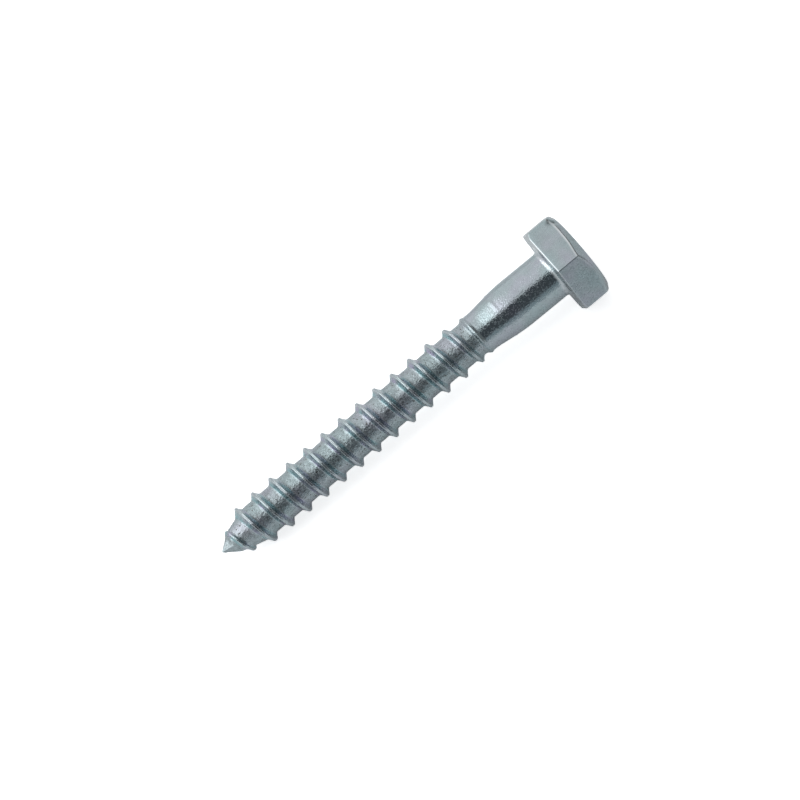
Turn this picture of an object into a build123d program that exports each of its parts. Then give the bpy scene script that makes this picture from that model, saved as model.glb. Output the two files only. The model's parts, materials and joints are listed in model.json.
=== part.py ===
"""Hex head lag screw, 1/4 in by 2 in, forged and thread-rolled from one piece of steel.

The screw is shaped standing on its axis: the underside of the head is at z = 0, the
point is at the bottom, and the full thread starts at +X. It is then laid down as it
comes to rest on a table, where one flat of the head and one thread crest near the
point carry it. The origin is on the table, under the middle of the screw.
"""
from build123d import *
from math import atan, ceil, cos, degrees, radians, sin, tan
import os

# Driving dimensions, in millimetres and degrees

# Along the axis
screw_length = 50.8  # underside of the head to the tip of the point
shank_length = 6.8  # underside of the head to the edge of the shoulder
neck_length = 4.7  # edge of the shoulder to the end of the neck
neck_step_length = 0.6  # from the end of the neck down to the root of the thread
lead_in_length = 4.47  # tip of the point to the first full thread
taper_length = 3.3  # from the cone of the point up to the full root diameter

# Diameters
shank_diameter = 6.2
neck_diameter = 5.04  # at the end of the neck
root_diameter = 4.74
point_diameter = 2.84  # where the cone of the point meets the taper
tip_diameter = 0.2  # the blunt end of the point

# Rounded and sloping forms of the shank
shoulder_radius = 30.0
under_head_radius = 0.6
point_half_angle = 37.5
gimlet_half_angle = 45.0  # of the cone that trims the last thread at the point

# Thread
thread_diameter = 6.2
thread_pitch = 2.675
crest_width = 0.18
tooth_width = 1.5  # across the feet of its flanks, just inside the core
lead_in_turns = 1.2  # the crest climbs from the point to full height within these
run_out_turns = 1.0  # the crest sinks into the neck within these
foot_depth = 0.1  # how far a ridge reaches into the core, which it is one with
ridges_per_turn = 1.5  # at least so many lie end to end in a turn of the full thread
axis_gap = 0.3  # from the foot of the lead-in ridge to the axis of the screw

# Head
across_flats = 11.11
head_height = 4.05
top_face_inset = 0.705  # from the flats in to the edge of the top face
top_chamfer_angle = 33.0
corner_clip = 0.415  # how far the bearing chamfer cuts into the corners
bearing_chamfer_angle = 45.0
floor_flat_angle = 233.0  # round the axis, from the start of the full thread to the flat

# Worked out from them

shank_radius = shank_diameter / 2
fillet_edge_radius = shank_radius + under_head_radius
neck_radius = neck_diameter / 2
root_radius = root_diameter / 2
point_radius = point_diameter / 2
tip_radius = tip_diameter / 2
thread_radius = thread_diameter / 2
tooth_height = thread_radius - root_radius
apothem = across_flats / 2
top_face_radius = apothem - top_face_inset
corner_radius = apothem / cos(radians(30))
bearing_face_radius = corner_radius - corner_clip

core_top_z = head_height / 2  # the core reaches up into the head, which it is one with
shoulder_z = -shank_length
neck_end_z = shoulder_z - neck_length
root_start_z = neck_end_z - neck_step_length
run_out_z = neck_end_z - run_out_turns * thread_pitch
tip_z = -screw_length
full_thread_z = tip_z + lead_in_length
point_base_z = tip_z + (point_radius - tip_radius) / tan(radians(point_half_angle))
taper_top_z = point_base_z + taper_length


def thread_ridge(turns, end_radius):
    """A right-handed ridge up from z = 0 at +X; its crest ends at end_radius."""
    rise = turns * thread_pitch
    slope = degrees(atan((end_radius - thread_radius) / rise))
    foot = -tooth_height - foot_depth
    with BuildPart() as ridge:
        with BuildLine() as crest_line:
            Helix(thread_pitch, rise, thread_radius, cone_angle=slope)
        with BuildSketch(Plane((thread_radius, 0, 0), x_dir=(0, 0, 1), z_dir=(0, 1, 0))):
            with BuildLine():
                Polyline((0, 0), (crest_width / 2, 0), (tooth_width / 2, foot), (0, foot))
                mirror(about=Plane.YZ)
            make_face()
        sweep(path=crest_line.line, is_frenet=True)
    return ridge.part


# The last thread winds down the point, which trims it to the cone of the gimlet
lead_in_end_radius = tooth_height + foot_depth + axis_gap
gimlet_radius = 2 * thread_radius
gimlet_top_z = tip_z + (gimlet_radius - tip_radius) / tan(radians(gimlet_half_angle))
lead_in_ridge = thread_ridge(lead_in_turns, lead_in_end_radius)
with BuildPart() as lead_in:
    with Locations(Location((0, 0, full_thread_z), (180, 0, 0))):
        add(lead_in_ridge)
    with BuildSketch(Plane.XZ):
        with BuildLine():
            Polyline(
                (0, tip_z),
                (tip_radius, tip_z),
                (gimlet_radius, gimlet_top_z),
                (0, gimlet_top_z),
                close=True,
            )
        make_face()
    revolve(axis=Axis.Z, mode=Mode.INTERSECT)

# The head: a hexagon inside one turned profile, which chamfers its top and its corners
top_chamfer = (corner_radius - top_face_radius) * tan(radians(top_chamfer_angle))
bearing_chamfer = corner_clip * tan(radians(bearing_chamfer_angle))
with BuildPart() as head:
    with BuildSketch():
        RegularPolygon(apothem, 6, major_radius=False, rotation=floor_flat_angle - 30)
    extrude(amount=head_height)
    with BuildSketch(Plane.XZ):
        with BuildLine():
            Polyline(
                (0, 0),
                (bearing_face_radius, 0),
                (corner_radius, bearing_chamfer),
                (corner_radius, head_height - top_chamfer),
                (top_face_radius, head_height),
                (0, head_height),
                close=True,
            )
        make_face()
    revolve(axis=Axis.Z, mode=Mode.INTERSECT)

# The full thread is made of equal short ridges end to end
full_turns = (run_out_z - full_thread_z) / thread_pitch
ridge_count = ceil(ridges_per_turn * full_turns)
ridge_turns = full_turns / ridge_count
full_ridge = thread_ridge(ridge_turns, thread_radius)
run_out_ridge = thread_ridge(run_out_turns, neck_radius - foot_depth)

# The whole screw, standing on its axis
with BuildPart() as standing_screw:
    # The fillet under the head, the shank, neck, root and point are one turned profile
    with BuildSketch(Plane.XZ) as profile:
        with BuildLine():
            Polyline((0, core_top_z), (fillet_edge_radius, core_top_z), (fillet_edge_radius, 0))
            Bezier((fillet_edge_radius, 0), (shank_radius, 0), (shank_radius, -under_head_radius))
            Polyline(
                (shank_radius, -under_head_radius),
                (shank_radius, shoulder_z),
                (neck_radius, neck_end_z),
                (root_radius, root_start_z),
                (root_radius, taper_top_z),
                (point_radius, point_base_z),
                (tip_radius, tip_z),
                (0, tip_z),
                (0, core_top_z),
            )
        make_face()
        shoulder = profile.vertices().filter_by_position(Axis.Y, shoulder_z, shoulder_z)
        fillet(shoulder, shoulder_radius)
    revolve(axis=Axis.Z)
    add(head.part)
    add(lead_in.part)
    for ridge_number in range(ridge_count):
        turns_below = ridge_number * ridge_turns
        ridge_z = full_thread_z + turns_below * thread_pitch
        with Locations(Location((0, 0, ridge_z), (0, 0, 360 * turns_below))):
            add(full_ridge)
    with Locations(Location((0, 0, run_out_z), (0, 0, 360 * full_turns))):
        add(run_out_ridge)

# At rest the screw leans from the edge of the head's lowest flat to the lowest crest
crest_above_start = thread_pitch * floor_flat_angle / 360
head_to_crest = -(full_thread_z + crest_above_start)
lean = atan((apothem - thread_radius) / head_to_crest)
axis_height = apothem * cos(lean)  # at the underside of the head
head_end_x = head_height * cos(lean) + top_face_radius * sin(lean)
tip_end_x = -screw_length * cos(lean) - tip_radius * sin(lean)
resting_plane = Plane(
    origin=(-(head_end_x + tip_end_x) / 2, 0, axis_height),
    x_dir=(sin(lean), 0, -cos(lean)),
    z_dir=(cos(lean), 0, sin(lean)),
)
with BuildPart(resting_plane) as lag_screw:
    add(standing_screw.part, rotation=(0, 0, -floor_flat_angle))

lag_screw.part.label = "lag_screw"
os.makedirs("parts", exist_ok=True)
export_step(lag_screw.part, "parts/lag_screw.step")
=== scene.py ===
"""A hex head lag screw at rest on a pale floor, in soft studio light.

The screw's skin is one closed mesh, shaped in the screw's own directions: z runs along
its axis, from 0 at the underside of the head up to the head's top and down to the point,
x points towards the floor, and y is the frame's own. Its sizes are in millimetres until
it is placed, and angles round the axis start from the direction of the floor.
"""
import json
from math import ceil, cos, pi, radians, sin, tan

import bmesh
import bpy
import numpy as np
from mathutils import Matrix, Vector, noise


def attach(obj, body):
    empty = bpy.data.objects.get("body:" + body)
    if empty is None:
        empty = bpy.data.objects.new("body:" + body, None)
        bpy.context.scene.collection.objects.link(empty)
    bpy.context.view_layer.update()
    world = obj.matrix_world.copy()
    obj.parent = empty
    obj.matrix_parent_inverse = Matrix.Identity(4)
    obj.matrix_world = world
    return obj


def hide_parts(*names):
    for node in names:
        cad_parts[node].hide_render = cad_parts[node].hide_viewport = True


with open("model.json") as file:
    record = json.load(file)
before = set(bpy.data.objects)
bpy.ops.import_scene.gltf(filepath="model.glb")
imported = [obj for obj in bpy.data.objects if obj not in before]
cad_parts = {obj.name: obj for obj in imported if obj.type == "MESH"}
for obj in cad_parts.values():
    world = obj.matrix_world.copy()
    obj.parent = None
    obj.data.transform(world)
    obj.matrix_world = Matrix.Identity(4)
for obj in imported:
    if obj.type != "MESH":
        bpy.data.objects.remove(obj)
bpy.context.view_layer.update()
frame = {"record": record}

MM = 0.001

# The screw's sizes, as in its solid

screw_length = 50.8
shank_radius = 3.1
shank_length = 6.8
neck_radius = 2.52
neck_length = 4.7
neck_step_length = 0.6
root_radius = 2.37
thread_radius = 3.1
point_radius = 1.42
point_half_angle = 37.5
taper_length = 3.3
tip_radius = 0.1
under_head_radius = 0.6
thread_pitch = 2.675
lead_in_length = 4.47
thread_start_angle = 127.0
apothem = 5.555
head_height = 4.05
corner_clip = 0.415

tip_z = -screw_length
thread_start_z = tip_z + lead_in_length
neck_end_z = -shank_length - neck_length

# Where the screw lies, from its mounts

mounts = {mount["name"]: mount for mount in frame["record"]["mounts"]}
head_axis = Vector(mounts["hex_drive"]["axis"]).normalized()
drive_point = Vector(mounts["hex_drive"]["pos_m"])
bearing_point = Vector(mounts["bearing_face"]["pos_m"])
bearing_centre = drive_point + head_axis * (bearing_point - drive_point).dot(head_axis)
sideways = Vector((0, 1, 0))
floorward = sideways.cross(head_axis)
turned = Matrix((floorward, sideways, head_axis)).transposed().to_4x4()
placing = Matrix.Translation(bearing_centre) @ turned @ Matrix.Scale(MM, 4)


# Smooth steps and noise

def soft_max(a, b, softness):
    """The larger of a and b, rounded where they cross."""
    nearness = np.maximum(softness - np.abs(a - b), 0) / softness
    return np.maximum(a, b) + softness * nearness**2 / 4


def soft_min(a, b, softness):
    """The smaller of a and b, rounded where they cross."""
    return a + b - soft_max(a, b, softness)


def rise(value, start, end):
    """From 0 at start to 1 at end, without a corner."""
    share = np.clip((value - start) / (end - start), 0, 1)
    return share * share * (3 - 2 * share)


def bell(value, centre, width):
    """1 at the centre, falling smoothly to about a third at this width from it."""
    return np.exp(-(((value - centre) / width) ** 2))


def bumps(places, size, seed):
    """Smooth noise from about -1 to 1 at each place, with bumps of this size."""
    start = Vector((seed, 2.5 * seed, 0.5))
    levels = [noise.noise(Vector(place) / size + start) for place in places.reshape(-1, 3)]
    return np.array(levels).reshape(places.shape[:-1])


# The form of the shank, neck, root and point

neck_slope = (shank_radius - neck_radius) / neck_length
taper_slope = (root_radius - point_radius) / taper_length
point_slope = tan(radians(point_half_angle))
point_base_z = tip_z + (point_radius - tip_radius) / point_slope
neck_waist_radius = 2.64
shoulder_rounding = 0.16
waist_rounding = 0.05
taper_rounding = 0.15
point_rounding = 0.12
forming_mark_z = -8.05  # a faint ring round the shoulder
forming_mark_height = 0.032
forming_mark_width = 0.13


def core_radius(z):
    """The radius without the thread."""
    neck = neck_radius + neck_slope * (z - neck_end_z)
    neck = soft_min(neck, shank_radius, shoulder_rounding)
    neck = soft_max(neck, neck_waist_radius, waist_rounding)
    neck = neck + forming_mark_height * bell(z, forming_mark_z, forming_mark_width)
    root = point_radius + taper_slope * (z - point_base_z)
    root = soft_min(root, root_radius, taper_rounding)
    root = soft_min(root, tip_radius + point_slope * (z - tip_z), point_rounding)
    return root + (neck - root_radius) * rise(z, neck_end_z - neck_step_length, neck_end_z)


# The thread's crest, by turns from its start: its radius, and how far it lags behind the
# steady climb where it runs out into a ring round the neck
crest_turns = (-1.6, -1.32, -1.0, -0.52, 0.0, 0.5, 11.5, 12.0, 12.5, 13.0, 13.5, 13.9, 14.3)
crest_radii = (0.2, 0.95, 1.66, 2.34, 3.0, 3.12, 3.12, 3.05, 3.02, 2.95, 2.82, 2.45, 1.5)
lag_turns = (12.4, 12.7, 13.0, 13.25, 13.5, 14.0)
lags = (0.0, 0.08, 0.3, 0.7, 1.2, 1.5)
rounder_turns = (12.0, 13.0)  # between these the crest grows rounder, for the run-out
crest_half_width = 0.08
crest_rounding = 0.05
run_out_rounding = 0.28
root_rounding = 0.14
flank_slope = 1.45
gimlet_slope = 1.0  # of the cone that trims the thread at the point


def crest_z(turns):
    return thread_start_z + thread_pitch * turns - np.interp(turns, lag_turns, lags)


def threaded_radius(z, turns, offset):
    """The radius at height z, so far above or below the crest of so many turns."""
    beyond = np.abs(offset) - crest_half_width
    in_run_out = rise(turns, *rounder_turns)
    rounding = crest_rounding + (run_out_rounding - crest_rounding) * in_run_out
    drop = (beyond + np.sqrt(beyond**2 + rounding**2)) / 2
    tooth = np.interp(turns, crest_turns, crest_radii) - flank_slope * drop
    merged = soft_max(tooth, core_radius(z), 2 * root_rounding)
    return np.minimum(merged, tip_radius + gimlet_slope * (z - tip_z))


# The screw is a little bent just below its neck, so its axis runs off to the side
axis_offset_at_head = 0.09
axis_offset_at_tip = -0.04
lean_above_bend = 0.0144
lean_below_bend = 0.0098
bend_softness = 0.12


def bent(places):
    places = places.copy()
    z = places[..., 2]
    above_bend = axis_offset_at_head - lean_above_bend * z
    below_bend = axis_offset_at_tip + lean_below_bend * (z - tip_z)
    places[..., 1] += soft_min(above_bend, below_bend, bend_softness)
    return places


# The mesh, with the zones of each vertex: rolled root (also laid on the head's dent as painted
# shade), worn edge (with a painted highlight on the fillet and on the edges that face up),
# flank, forged surface

vertices = []
zones = []
faces = []


def around_axis(radii, heights, angles):
    radii, heights, angles = np.broadcast_arrays(radii, heights, angles)
    return np.stack((radii * np.cos(angles), radii * np.sin(angles), heights), axis=-1)


def add_points(places, root=0.0, wear_and_highlight=0.0, flank=0.0, forged=0.0):
    """Adds vertices and gives their numbers, in an array of the same shape."""
    shape = places.shape[:-1]
    shares = [np.broadcast_to(share, shape) for share in (root, wear_and_highlight, flank, forged)]
    zone = np.stack(shares, axis=-1)
    numbers = len(vertices) + np.arange(zone[..., 0].size).reshape(shape)
    vertices.extend(places.reshape(-1, 3).tolist())
    zones.extend(zone.reshape(-1, 4).tolist())
    return numbers


def add_quads(numbers, closed):
    """Faces between rows of vertex numbers; closed joins the last column to the first."""
    if closed:
        numbers = np.concatenate((numbers, numbers[:, :1]), axis=1)
    corners = (numbers[:-1, :-1], numbers[:-1, 1:], numbers[1:, 1:], numbers[1:, :-1])
    faces.extend(np.stack(corners, axis=-1).reshape(-1, 4).tolist())


# The threaded part is one strip, a pitch wide, wound up the screw and trimmed at both
# ends. Its rows follow the crest, closest together near it, and the lowest row of the
# turn above closes each turn.
columns = 128
strip_top_z = -9.0
rows_from_crest = np.array((  # in mm where the turns are a pitch apart
    0.0, 0.035, 0.07, 0.105, 0.14, 0.175, 0.21, 0.28, 0.36,
    0.44, 0.52, 0.59, 0.66, 0.74, 0.86, 1.0, 1.17,
)) / thread_pitch
row_shares = np.concatenate(([-0.5], -rows_from_crest[:0:-1], rows_from_crest))[:, None]
turns_below = ceil(lead_in_length / thread_pitch) + 1
turns_above = ceil((strip_top_z - thread_start_z) / thread_pitch) + 2
turns = np.arange(-turns_below * columns, (turns_above + 1) * columns) / columns
gap_below = crest_z(turns) - crest_z(turns - 1)
gap_above = crest_z(turns + 1) - crest_z(turns)
offsets = row_shares * np.where(row_shares < 0, gap_below, gap_above)
strip_z = np.clip(crest_z(turns) + offsets, tip_z, strip_top_z)
turn_angles = radians(thread_start_angle) + 2 * pi * turns
angles = turn_angles + 0 * strip_z
radii = threaded_radius(strip_z, turns, offsets)
strip = around_axis(radii, strip_z, angles)

# Along the crest: a wavy height, small nicks, and the lips that rolling leaves
crest_noise_radius = 2.9
wave_height = 0.03
nick_depth = 0.14
nick_threshold = 0.35  # the higher, the fewer the nicks
lip_spacing = 0.28
lip_depth = 0.036
crest_band = 0.36
above_core = radii - core_radius(strip_z)
crest_line = around_axis(crest_noise_radius, crest_z(turns), turn_angles)
waviness = bumps(crest_line, size=1.6, seed=1)
nicks = np.maximum(bumps(crest_line, size=0.5, seed=2) - nick_threshold, 0)
on_tooth = rise(above_core, 0.05, 0.5)
near_crest = bell(offsets, 0, crest_band) * rise(above_core, 0.15, 0.45)
lip_wave = np.cos(2 * pi * offsets / lip_spacing)
lips = lip_depth * lip_wave * (0.8 + 1.2 * bumps(crest_line, size=0.7, seed=3))
worn_down = nick_depth * nicks * near_crest
radii = radii + on_tooth * (wave_height * waviness - worn_down) - near_crest * lips

# The rolled surface is uneven between the tip and the neck
rolled_start_z = -49.5
rolled = (1 - rise(strip_z, neck_end_z, strip_top_z)) * rise(strip_z, tip_z, rolled_start_z)
broad_unevenness = 0.01 * bumps(strip, size=0.9, seed=4)
fine_unevenness = 0.008 * bumps(strip, size=0.4, seed=5)
radii = radii + (broad_unevenness + fine_unevenness) * rolled

# The pinched point has six facets, one of them turned to this angle
tip_facet_angle = 192.0
facet_top_z = -49.6
round_again_z = -48.9
from_facet = (np.degrees(angles) - tip_facet_angle + 30) % 60 - 30
facet_dip = 1 - cos(radians(30)) / np.cos(np.radians(from_facet))
radii = radii * (1 - facet_dip * (1 - rise(strip_z, facet_top_z, round_again_z)))
radii = np.clip(radii, tip_radius * 0.8, thread_radius)

# The strip's zones: the ring of the run-out is half a root, and the point half forged
above_core = radii - core_radius(strip_z)
off_core = rise(above_core, 0.02, 0.12)
in_run_out = rise(turns, 12.0, 12.7) * off_core
is_flank = off_core * (1 - near_crest) * (1 - in_run_out)
below_neck = 1 - rise(strip_z, neck_end_z - neck_step_length, neck_end_z)
is_root = (1 - rise(above_core, 0.0, 0.1)) * below_neck
numbers = add_points(
    bent(around_axis(radii, strip_z, angles)),
    root=np.maximum(is_root, 0.5 * in_run_out),
    wear_and_highlight=0.5 * near_crest * (0.5 - 0.5 * lip_wave) * (1 - in_run_out),
    flank=is_flank * np.where(offsets < 0, 1.0, 0.6),
    forged=0.5 - 0.5 * rise(strip_z, -49.4, -48.6),
)
add_quads(np.vstack((numbers[:, :-columns], numbers[:1, columns:])), closed=False)

# The shank, from the top of the strip to the fillet's edge on the bearing face
ring_angles = radians(thread_start_angle) + 2 * pi * np.arange(columns) / columns
shank_z = np.linspace(strip_top_z, -under_head_radius, 44)
sweep = np.radians(np.linspace(0, 90, 9))[1:]
fillet_z = -under_head_radius * (1 - np.sin(sweep))
fillet_r = shank_radius + under_head_radius * (1 - np.cos(sweep))
shank_r = np.concatenate((core_radius(shank_z), fillet_r))[:, None]
shank_z = np.concatenate((shank_z, fillet_z))[:, None]
in_fillet = rise(shank_z, -under_head_radius, -0.8 * under_head_radius)
shank = bent(around_axis(shank_r, shank_z, ring_angles))
# The fillet gets the lighter colour of the worn zone: a painted highlight
add_quads(add_points(shank, wear_and_highlight=0.4 * in_fillet), closed=True)

# The head. Its top chamfer is flatter than the solid's, and rounds over into the top.
head_offset = 0.015  # to the side, from the middle of the frame
corner_edge_radius = 0.14
bearing_edge_radius = 0.2
bearing_slope = radians(45)
chamfer_edge_radius = 0.28
top_slope = radians(30)
top_face_inset = 0.64
brim_radius = 0.7
inner_ring_radius = 4.0
top_radius = apothem - top_face_inset

# The hexagon's radius at columns that are closest together near the corners
half_flat = (0.0, 4.0, 8.0, 12.0, 16.0, 19.5, 22.5, 25.0, 27.0, 28.2, 28.8, 29.2, 29.6)
flat_angles = np.array([-30.0, *(-angle for angle in half_flat[:0:-1]), *half_flat])
head_degrees = np.concatenate([flat_angles + 60 * flat for flat in range(6)])
head_angles = np.radians(head_degrees)
from_flat = np.radians(np.abs((head_degrees + 30) % 60 - 30))
from_corner = radians(30) - from_flat
centre_apothem = apothem - corner_edge_radius
corner_reach = centre_apothem / cos(radians(30))
rounded_square = corner_edge_radius**2 - (corner_reach * np.sin(from_corner)) ** 2
rounded = corner_reach * np.cos(from_corner) + np.sqrt(np.maximum(rounded_square, 0))
on_flat = np.tan(from_flat) * apothem < centre_apothem * tan(radians(30))
hex_radius = np.where(on_flat, apothem / np.cos(from_flat), rounded)

# The bearing chamfer clips the corners, and one of them less than the rest
crisp_corner_angle = 210
crisp_corner_extra = 0.25
bearing_radii = apothem / cos(radians(30)) - corner_clip
crispness = bell(head_degrees, crisp_corner_angle, 22)
bearing_radii = bearing_radii + crisp_corner_extra * crispness
lower_r = hex_radius - bearing_edge_radius
lower_z = (
    (lower_r - bearing_radii) * sin(bearing_slope) + bearing_edge_radius
) / cos(bearing_slope)
lower_z = np.maximum(lower_z, bearing_edge_radius)
foot_r = bearing_radii - bearing_edge_radius * (1 - cos(bearing_slope)) / sin(bearing_slope)
foot_r = np.minimum(foot_r, lower_r)

# The top chamfer is deeper on the flat that faces up
extra_depth = 0.25
deep_flat = rise(head_degrees, 152, 182) * (1 - rise(head_degrees, 200, 222))
upper_r = hex_radius - chamfer_edge_radius
upper_z = head_height - (
    (upper_r - top_radius) * sin(top_slope) + chamfer_edge_radius
) / cos(top_slope)
upper_z = upper_z - extra_depth * deep_flat
brim_r = top_radius - brim_radius * (1 - cos(top_slope)) / sin(top_slope)
brim_z = head_height - brim_radius

head_rows = []
head_wear_and_highlight = []


def add_head_rows(rows, wear_and_highlight=0.0):
    """Rows of (radius, height) round the head, from the bearing face to the top."""
    head_rows.extend(rows)
    head_wear_and_highlight.extend(np.broadcast_to(wear_and_highlight, len(rows)))


def arc(centre_r, centre_z, radius, start, end, count):
    """Rows round an edge: the profile's normal turns from start to end above level."""
    normals = np.linspace(start, end, count)
    return [(centre_r + radius * np.cos(n), centre_z + radius * np.sin(n)) for n in normals]


def between(start_row, end_row, shares):
    (start_r, start_z), (end_r, end_z) = start_row, end_row
    return [
        (start_r + share * (end_r - start_r), start_z + share * (end_z - start_z))
        for share in shares
    ]


inner_row = (inner_ring_radius, 0)
add_head_rows([inner_row, *between(inner_row, (foot_r, 0), (0.5,)), (foot_r - 0.08, 0)])
bearing_edge = arc(foot_r, bearing_edge_radius, bearing_edge_radius, -pi / 2, -bearing_slope, 4)
add_head_rows(bearing_edge, wear_and_highlight=(0, 1, 1, 1))
side_edge = arc(lower_r, lower_z, bearing_edge_radius, -bearing_slope, 0, 4)
add_head_rows(side_edge, wear_and_highlight=(1, 1, 0, 0))
side = between((hex_radius, lower_z), (hex_radius, upper_z), (0.08, 0.3, 0.5, 0.7, 0.92))
add_head_rows(side)
chamfer_edge = arc(upper_r, upper_z, chamfer_edge_radius, 0, pi / 2 - top_slope, 5)
add_head_rows(chamfer_edge, wear_and_highlight=(1, 0.5, 0, 0, 0))
brim = arc(brim_r, brim_z, brim_radius, pi / 2 - top_slope, pi / 2, 7)
add_head_rows(between(chamfer_edge[-1], brim[0], (0.08, 0.35, 0.65, 0.92)))
add_head_rows(brim)
add_head_rows([(share * brim_r, head_height) for share in (0.97, 0.75, 0.5, 0.25)])

# A dent at one end of the flat that faces up, and a forged surface that isn't quite even
dent_angle = 154.5
dent_z = 3.4
dent_depth = 0.42
dent_half_angle = 3.2
dent_half_height = 0.24
unevenness = 0.012
even_radius = 4.9  # within this, the top and the bearing face are flat
head_r = np.array([np.broadcast_to(radius, hex_radius.shape) for radius, height in head_rows])
head_z = np.array([np.broadcast_to(height, hex_radius.shape) for radius, height in head_rows])
head_places = around_axis(head_r, head_z, head_angles)
dent = bell(head_degrees, dent_angle, dent_half_angle) * bell(head_z, dent_z, dent_half_height)
uneven = unevenness * bumps(head_places, size=2.2, seed=6) * (head_r > even_radius)
head_places = around_axis(head_r - dent_depth * dent + uneven, head_z, head_angles)
head_places[..., 1] += head_offset
# The edges are a little worn all round, and made much lighter where the head faces up, towards
# the light: a painted highlight
highlight_angle = 178
wear_and_highlight_by_angle = 0.15 + 0.85 * bell(head_degrees, highlight_angle, 36)
wear_and_highlight = np.array(head_wear_and_highlight)[:, None] * wear_and_highlight_by_angle
# The dent gets three times the roots' share of dark flecks, darkening and dullness: painted
# shade in the dent
add_quads(add_points(head_places, root=3 * dent, wear_and_highlight=wear_and_highlight, forged=1.0), closed=True)

# One closed skin of the three: the strip and the shank meet exactly, the shank is bridged
# to the head under it, and the tip and the middle of the top are filled
screw_mesh = bpy.data.meshes.new("screw")
screw_mesh.from_pydata(vertices, [], faces)
zone_layer = screw_mesh.attributes.new("zones", "FLOAT_COLOR", "POINT")
zone_layer.data.foreach_set("color", np.array(zones).ravel())
skin = bmesh.new()
skin.from_mesh(screw_mesh)
bmesh.ops.remove_doubles(skin, verts=skin.verts, dist=1e-5)
bmesh.ops.dissolve_degenerate(skin, edges=skin.edges, dist=1e-5)
open_edges = [edge for edge in skin.edges if edge.is_boundary]
under_head = [edge for edge in open_edges if all(abs(v.co.z) < 1e-4 for v in edge.verts)]
bmesh.ops.bridge_loops(skin, edges=under_head)
open_ends = [edge for edge in skin.edges if edge.is_boundary]
bmesh.ops.holes_fill(skin, edges=open_ends, sides=0)
bmesh.ops.recalc_face_normals(skin, faces=skin.faces)
skin.to_mesh(screw_mesh)
skin.free()
screw_mesh.transform(placing)
screw_mesh.shade_smooth()
screw = bpy.data.objects.new("screw", screw_mesh)
bpy.context.collection.objects.link(screw)


# Shader nodes

def material(name):
    made = bpy.data.materials.new(name)
    made.use_nodes = True
    return made, made.node_tree.nodes["Principled BSDF"]


def node(tree, kind, sockets=(), **settings):
    """A new node; sockets holds (input, value or output to link) pairs."""
    made = tree.nodes.new("ShaderNode" + kind)
    for name, value in settings.items():
        setattr(made, name, value)
    for socket, value in sockets:
        if isinstance(value, bpy.types.NodeSocket):
            tree.links.new(value, made.inputs[socket])
        else:
            made.inputs[socket].default_value = value
    return made


def maths(tree, operation, *values):
    return node(tree, "Math", list(enumerate(values)), operation=operation).outputs[0]


def with_alpha(colour):
    """A colour's four channels; a number is a grey level."""
    return (*colour, 1) if isinstance(colour, tuple) else (colour, colour, colour, 1)


def ramp(tree, value, stops):
    """Colours, or grey levels, by value; stops holds (value, colour or level) pairs."""
    made = node(tree, "ValToRGB", [("Fac", value)])
    elements = made.color_ramp.elements
    while len(elements) < len(stops):
        elements.new(0.5)
    for element, (position, colour) in zip(elements, stops):
        element.position = position
        element.color = with_alpha(colour)
    return made.outputs["Color"]


def mix(tree, factor, a, b, blend="MIX"):
    """Two colours mixed; its sockets go by number, as each kind of mix has its own."""
    made = node(tree, "Mix", data_type="RGBA", blend_type=blend)
    for socket, value in ((made.inputs[0], factor), (made.inputs[6], a), (made.inputs[7], b)):
        if isinstance(value, bpy.types.NodeSocket):
            tree.links.new(value, socket)
        else:
            socket.default_value = with_alpha(value) if isinstance(value, tuple) else value
    return made.outputs[2]


# Metal

steel, shader = material("zinc plated steel")
tree = steel.node_tree
place = node(tree, "TexCoord").outputs["Object"]


def grain(size, detail=3.0, stretch=1.0, distortion=0.0, start=0.0):
    """Noise with grains of this size in mm, so many times longer along the screw."""
    moved = node(tree, "Mapping", [
        ("Vector", place),
        ("Location", (start, start, start)),
        ("Scale", (1 / stretch, 1, 1)),
    ])
    pattern = node(tree, "TexNoise", [
        ("Vector", moved.outputs[0]),
        ("Scale", 1 / (size * MM)),
        ("Detail", detail),
        ("Distortion", distortion),
    ])
    return pattern.outputs["Fac"]


zone_attribute = node(tree, "Attribute", attribute_name="zones")
zone_colour = node(tree, "SeparateColor", [("Color", zone_attribute.outputs["Color"])])
root, wear_and_highlight, flank = zone_colour.outputs
forged = zone_attribute.outputs["Alpha"]

# Zinc's own tints, stronger on the flanks
body_tint = ramp(tree, grain(3.2, 1.5, start=9.0), (
    (0.36, (0.36, 0.44, 0.46)),
    (0.52, (0.375, 0.435, 0.46)),
    (0.68, (0.4, 0.43, 0.48)),
))
flank_tint = ramp(tree, grain(2.2, 1.0, start=3.0), (
    (0.46, (0.29, 0.45, 0.48)),
    (0.54, (0.37, 0.43, 0.47)),
    (0.64, (0.4, 0.395, 0.52)),
))
tint = mix(tree, flank, body_tint, flank_tint)

# Mottling and flecks of dirt, more of both in the roots, and the same dark flecks, heavier, in
# the head's dent, where they are painted shade; bright worn crests and edges, and a painted
# highlight on the fillet and on the edges of the side that faces up
dirt_and_shade_colour = (0.09, 0.09, 0.08)
wear_and_highlight_colour = (0.66, 0.69, 0.71)
mottle = ramp(tree, grain(0.55, 5.0, 1.6), ((0.3, 0.8), (0.5, 1.0), (0.72, 1.12)))
mottle_share = maths(tree, "MULTIPLY_ADD", root, 0.65, 0.35)
mottled = mix(tree, mottle_share, tint, mix(tree, 1.0, tint, mottle, "MULTIPLY"))
dirt_and_shade_share = maths(tree, "MULTIPLY_ADD", root, 0.09, maths(tree, "MULTIPLY", forged, -0.06))
fleck_grain = grain(0.2, 4.0, 1.4, 0.4, start=7.0)
dirt_and_shade = ramp(tree, maths(tree, "ADD", fleck_grain, dirt_and_shade_share), ((0.69, 0.0), (0.77, 1.0)))
dirtied_and_shaded = mix(tree, dirt_and_shade, mottled, dirt_and_shade_colour)
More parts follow.
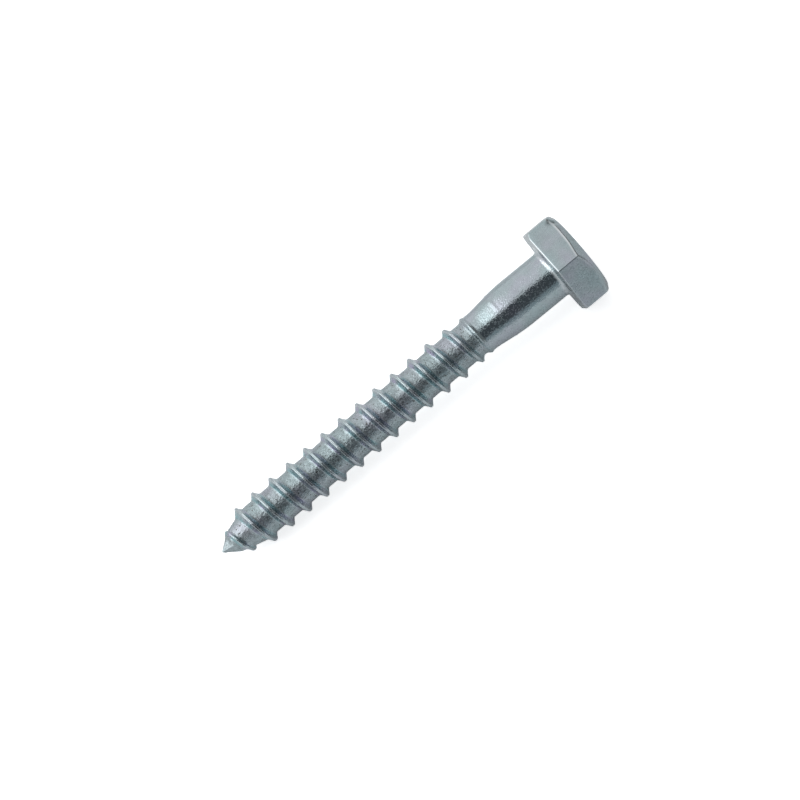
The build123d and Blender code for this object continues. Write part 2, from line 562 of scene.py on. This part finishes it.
# Roots and forged surfaces are a little darker, and dirt makes the roots less metallic; the
# head's dent gets three times the roots' darkening and loss of metal, as painted shade
forged_dimming = maths(tree, "MULTIPLY_ADD", forged, -0.12, 1.0)
dimming = maths(tree, "MULTIPLY_ADD", root, -0.06, forged_dimming)
dimmed = mix(tree, 1.0, dirtied_and_shaded, dimming, "MULTIPLY")
with_wear_and_highlight = mix(tree, wear_and_highlight, dimmed, wear_and_highlight_colour)
tree.links.new(with_wear_and_highlight, shader.inputs["Base Color"])
metallic = maths(tree, "MULTIPLY_ADD", root, -0.2, 1.0)
tree.links.new(metallic, shader.inputs["Metallic"])

# Dull specks, fainter where forged; flanks, roots and forged surfaces are duller all over,
# and the worn and highlighted crests, edges and fillet are smoother
specks = ramp(tree, grain(0.22, 3.0, start=23.0), ((0.4, 0.06), (0.5, 0.12), (0.6, 0.36)))
speck_share = maths(tree, "MULTIPLY_ADD", forged, -0.6, 1.0)
matt = maths(tree, "MULTIPLY_ADD", forged, 0.19, maths(tree, "MULTIPLY", flank, 0.2))
speckled = maths(tree, "MULTIPLY_ADD", specks, speck_share, matt)
rough = maths(tree, "MULTIPLY_ADD", root, 0.1, speckled)
roughness = maths(tree, "MULTIPLY_ADD", wear_and_highlight, -0.1, rough)
tree.links.new(roughness, shader.inputs["Roughness"])

# Fine unevenness of the plated skin, coarser in the roots and hardly any where forged
bump_height = 0.03
fine = grain(0.19, 2.0, 1.0, start=11.0)
coarse = grain(0.36, 4.0, 1.3, start=5.0)
coarse_share = maths(tree, "MULTIPLY_ADD", root, 2.1, 0.1)
coarse_height = maths(tree, "MULTIPLY", coarse, coarse_share)
both_heights = maths(tree, "MULTIPLY_ADD", fine, 0.85, coarse_height)
unforged = maths(tree, "MULTIPLY_ADD", forged, -0.93, 1.0)
height = maths(tree, "MULTIPLY", both_heights, unforged)
bump = node(tree, "Bump", [
    ("Strength", 1.0),
    ("Distance", bump_height * MM),
    ("Height", height),
])
tree.links.new(bump.outputs[0], shader.inputs["Normal"])
screw_mesh.materials.append(steel)
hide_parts("lag_screw")
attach(screw, "root")

# Floor, lifted to white for the camera and a little for reflections

floor_half = 3.0  # in metres
lift_for_camera = 0.74
lift_for_reflections = 0.07
floor_mesh = bpy.data.meshes.new("floor")
floor_corners = [
    (-floor_half, -floor_half, 0),
    (floor_half, -floor_half, 0),
    (floor_half, floor_half, 0),
    (-floor_half, floor_half, 0),
]
floor_mesh.from_pydata(floor_corners, [], [(0, 1, 2, 3)])
floor = bpy.data.objects.new("floor", floor_mesh)
bpy.context.collection.objects.link(floor)
pale, shader = material("pale floor")
tree = pale.node_tree
shader.inputs["Base Color"].default_value = (0.85, 0.87, 0.885, 1)
shader.inputs["Roughness"].default_value = 1
shader.inputs["Specular IOR Level"].default_value = 0
shader.inputs["Emission Color"].default_value = (1, 1, 1, 1)
ray = node(tree, "LightPath").outputs
reflected = maths(tree, "MULTIPLY", ray["Is Glossy Ray"], lift_for_reflections)
lift = maths(tree, "MULTIPLY_ADD", ray["Is Camera Ray"], lift_for_camera, reflected)
tree.links.new(lift, shader.inputs["Emission Strength"])
floor_mesh.materials.append(pale)

# The studio: bright above the screw and behind it, dark where the camera stands, dim below
# that, greyer off the screw's ends, and a softbox above the end with the point

world = bpy.data.worlds.new("studio")
bpy.context.scene.world = world
world.use_nodes = True
tree = world.node_tree
direction = node(tree, "TexCoord").outputs["Generated"]
along_x, along_y, along_z = node(tree, "SeparateXYZ", [("Vector", direction)]).outputs
around = maths(tree, "ARCTAN2", maths(tree, "MULTIPLY", along_y, -1.0), along_z)
turn_share = maths(tree, "MULTIPLY_ADD", around, 0.5 / pi, 0.5)
lean_share = maths(tree, "MULTIPLY_ADD", along_x, 0.5, 0.5)


def by_turn(*stops):
    """Light by direction round the screw, in degrees from straight up to the camera's side."""
    return ramp(tree, turn_share, [((angle + 180) / 360, level) for angle, level in stops])


def by_lean(*stops):
    """Light by how far the direction leans to the head's end, from -1 to 1."""
    return ramp(tree, lean_share, [((lean + 1) / 2, level) for lean, level in stops])


low = (0.37, 0.42, 0.45)
dim = (0.19, 0.215, 0.215)
band = (0.09, 0.097, 0.107)
white = (1.0, 1.0, 1.0)
sides = by_turn(
    (-180, 1.0), (10, 1.0), (14, band), (67, band), (74, low), (88, low), (94, dim), (180, dim)
)
beside = by_lean((-0.75, 0.0), (-0.4, 1.0), (0.24, 1.0), (0.36, 0.0))
ends = by_lean(
    (-1.0, 0.7), (-0.9, 0.6), (-0.8, 0.6), (0.0, 0.5), (0.3, 0.22), (0.9, 0.22), (0.97, 0.4)
)
behind = by_turn((-105, 0.0), (-90, 0.8), (-48, 0.8), (-38, 0.0))
room = mix(tree, beside, mix(tree, behind, ends, white), sides)
softbox_turn = by_turn((-64, 0.0), (-58, 1.5), (9, 1.5), (14, 0.0))
softbox_lean = by_lean((-0.8, 1.1), (-0.55, 0.7), (-0.3, 0.8), (-0.23, 1.0), (-0.205, 0.0))
softbox = mix(tree, 1.0, softbox_turn, softbox_lean, "MULTIPLY")
light = mix(tree, 1.0, room, softbox, "ADD")
tree.links.new(light, tree.nodes["Background"].inputs["Color"])

# Camera; it looks at a place below the head and a little beside the axis

camera_distance = 326.57
look_at_depth = 23.40
look_at_side = 0.212
camera_turn = 27.66
camera_tilt = 0.58
camera_roll = 40.06
upward = -floorward
level_view = upward * cos(radians(camera_turn)) - sideways * sin(radians(camera_turn))
to_camera = level_view * cos(radians(camera_tilt)) + head_axis * sin(radians(camera_tilt))
along = (head_axis - to_camera * head_axis.dot(to_camera)).normalized()
across = to_camera.cross(along)
roll = radians(camera_roll)
camera_x = along * cos(roll) - across * sin(roll)
camera_y = along * sin(roll) + across * cos(roll)
camera_axes = Matrix((camera_x, camera_y, to_camera)).transposed().to_4x4()
target = bearing_centre - head_axis * look_at_depth * MM + across * look_at_side * MM
camera_data = bpy.data.cameras.new("camera")
camera = bpy.data.objects.new("camera", camera_data)
bpy.context.collection.objects.link(camera)
camera.matrix_world = Matrix.Translation(target + to_camera * camera_distance * MM) @ camera_axes
camera_data.lens = 125.4
camera_data.sensor_width = 36
camera_data.clip_start = 0.01
camera_data.clip_end = 20
bpy.context.scene.camera = camera
bpy.context.scene.view_settings.view_transform = "Standard"
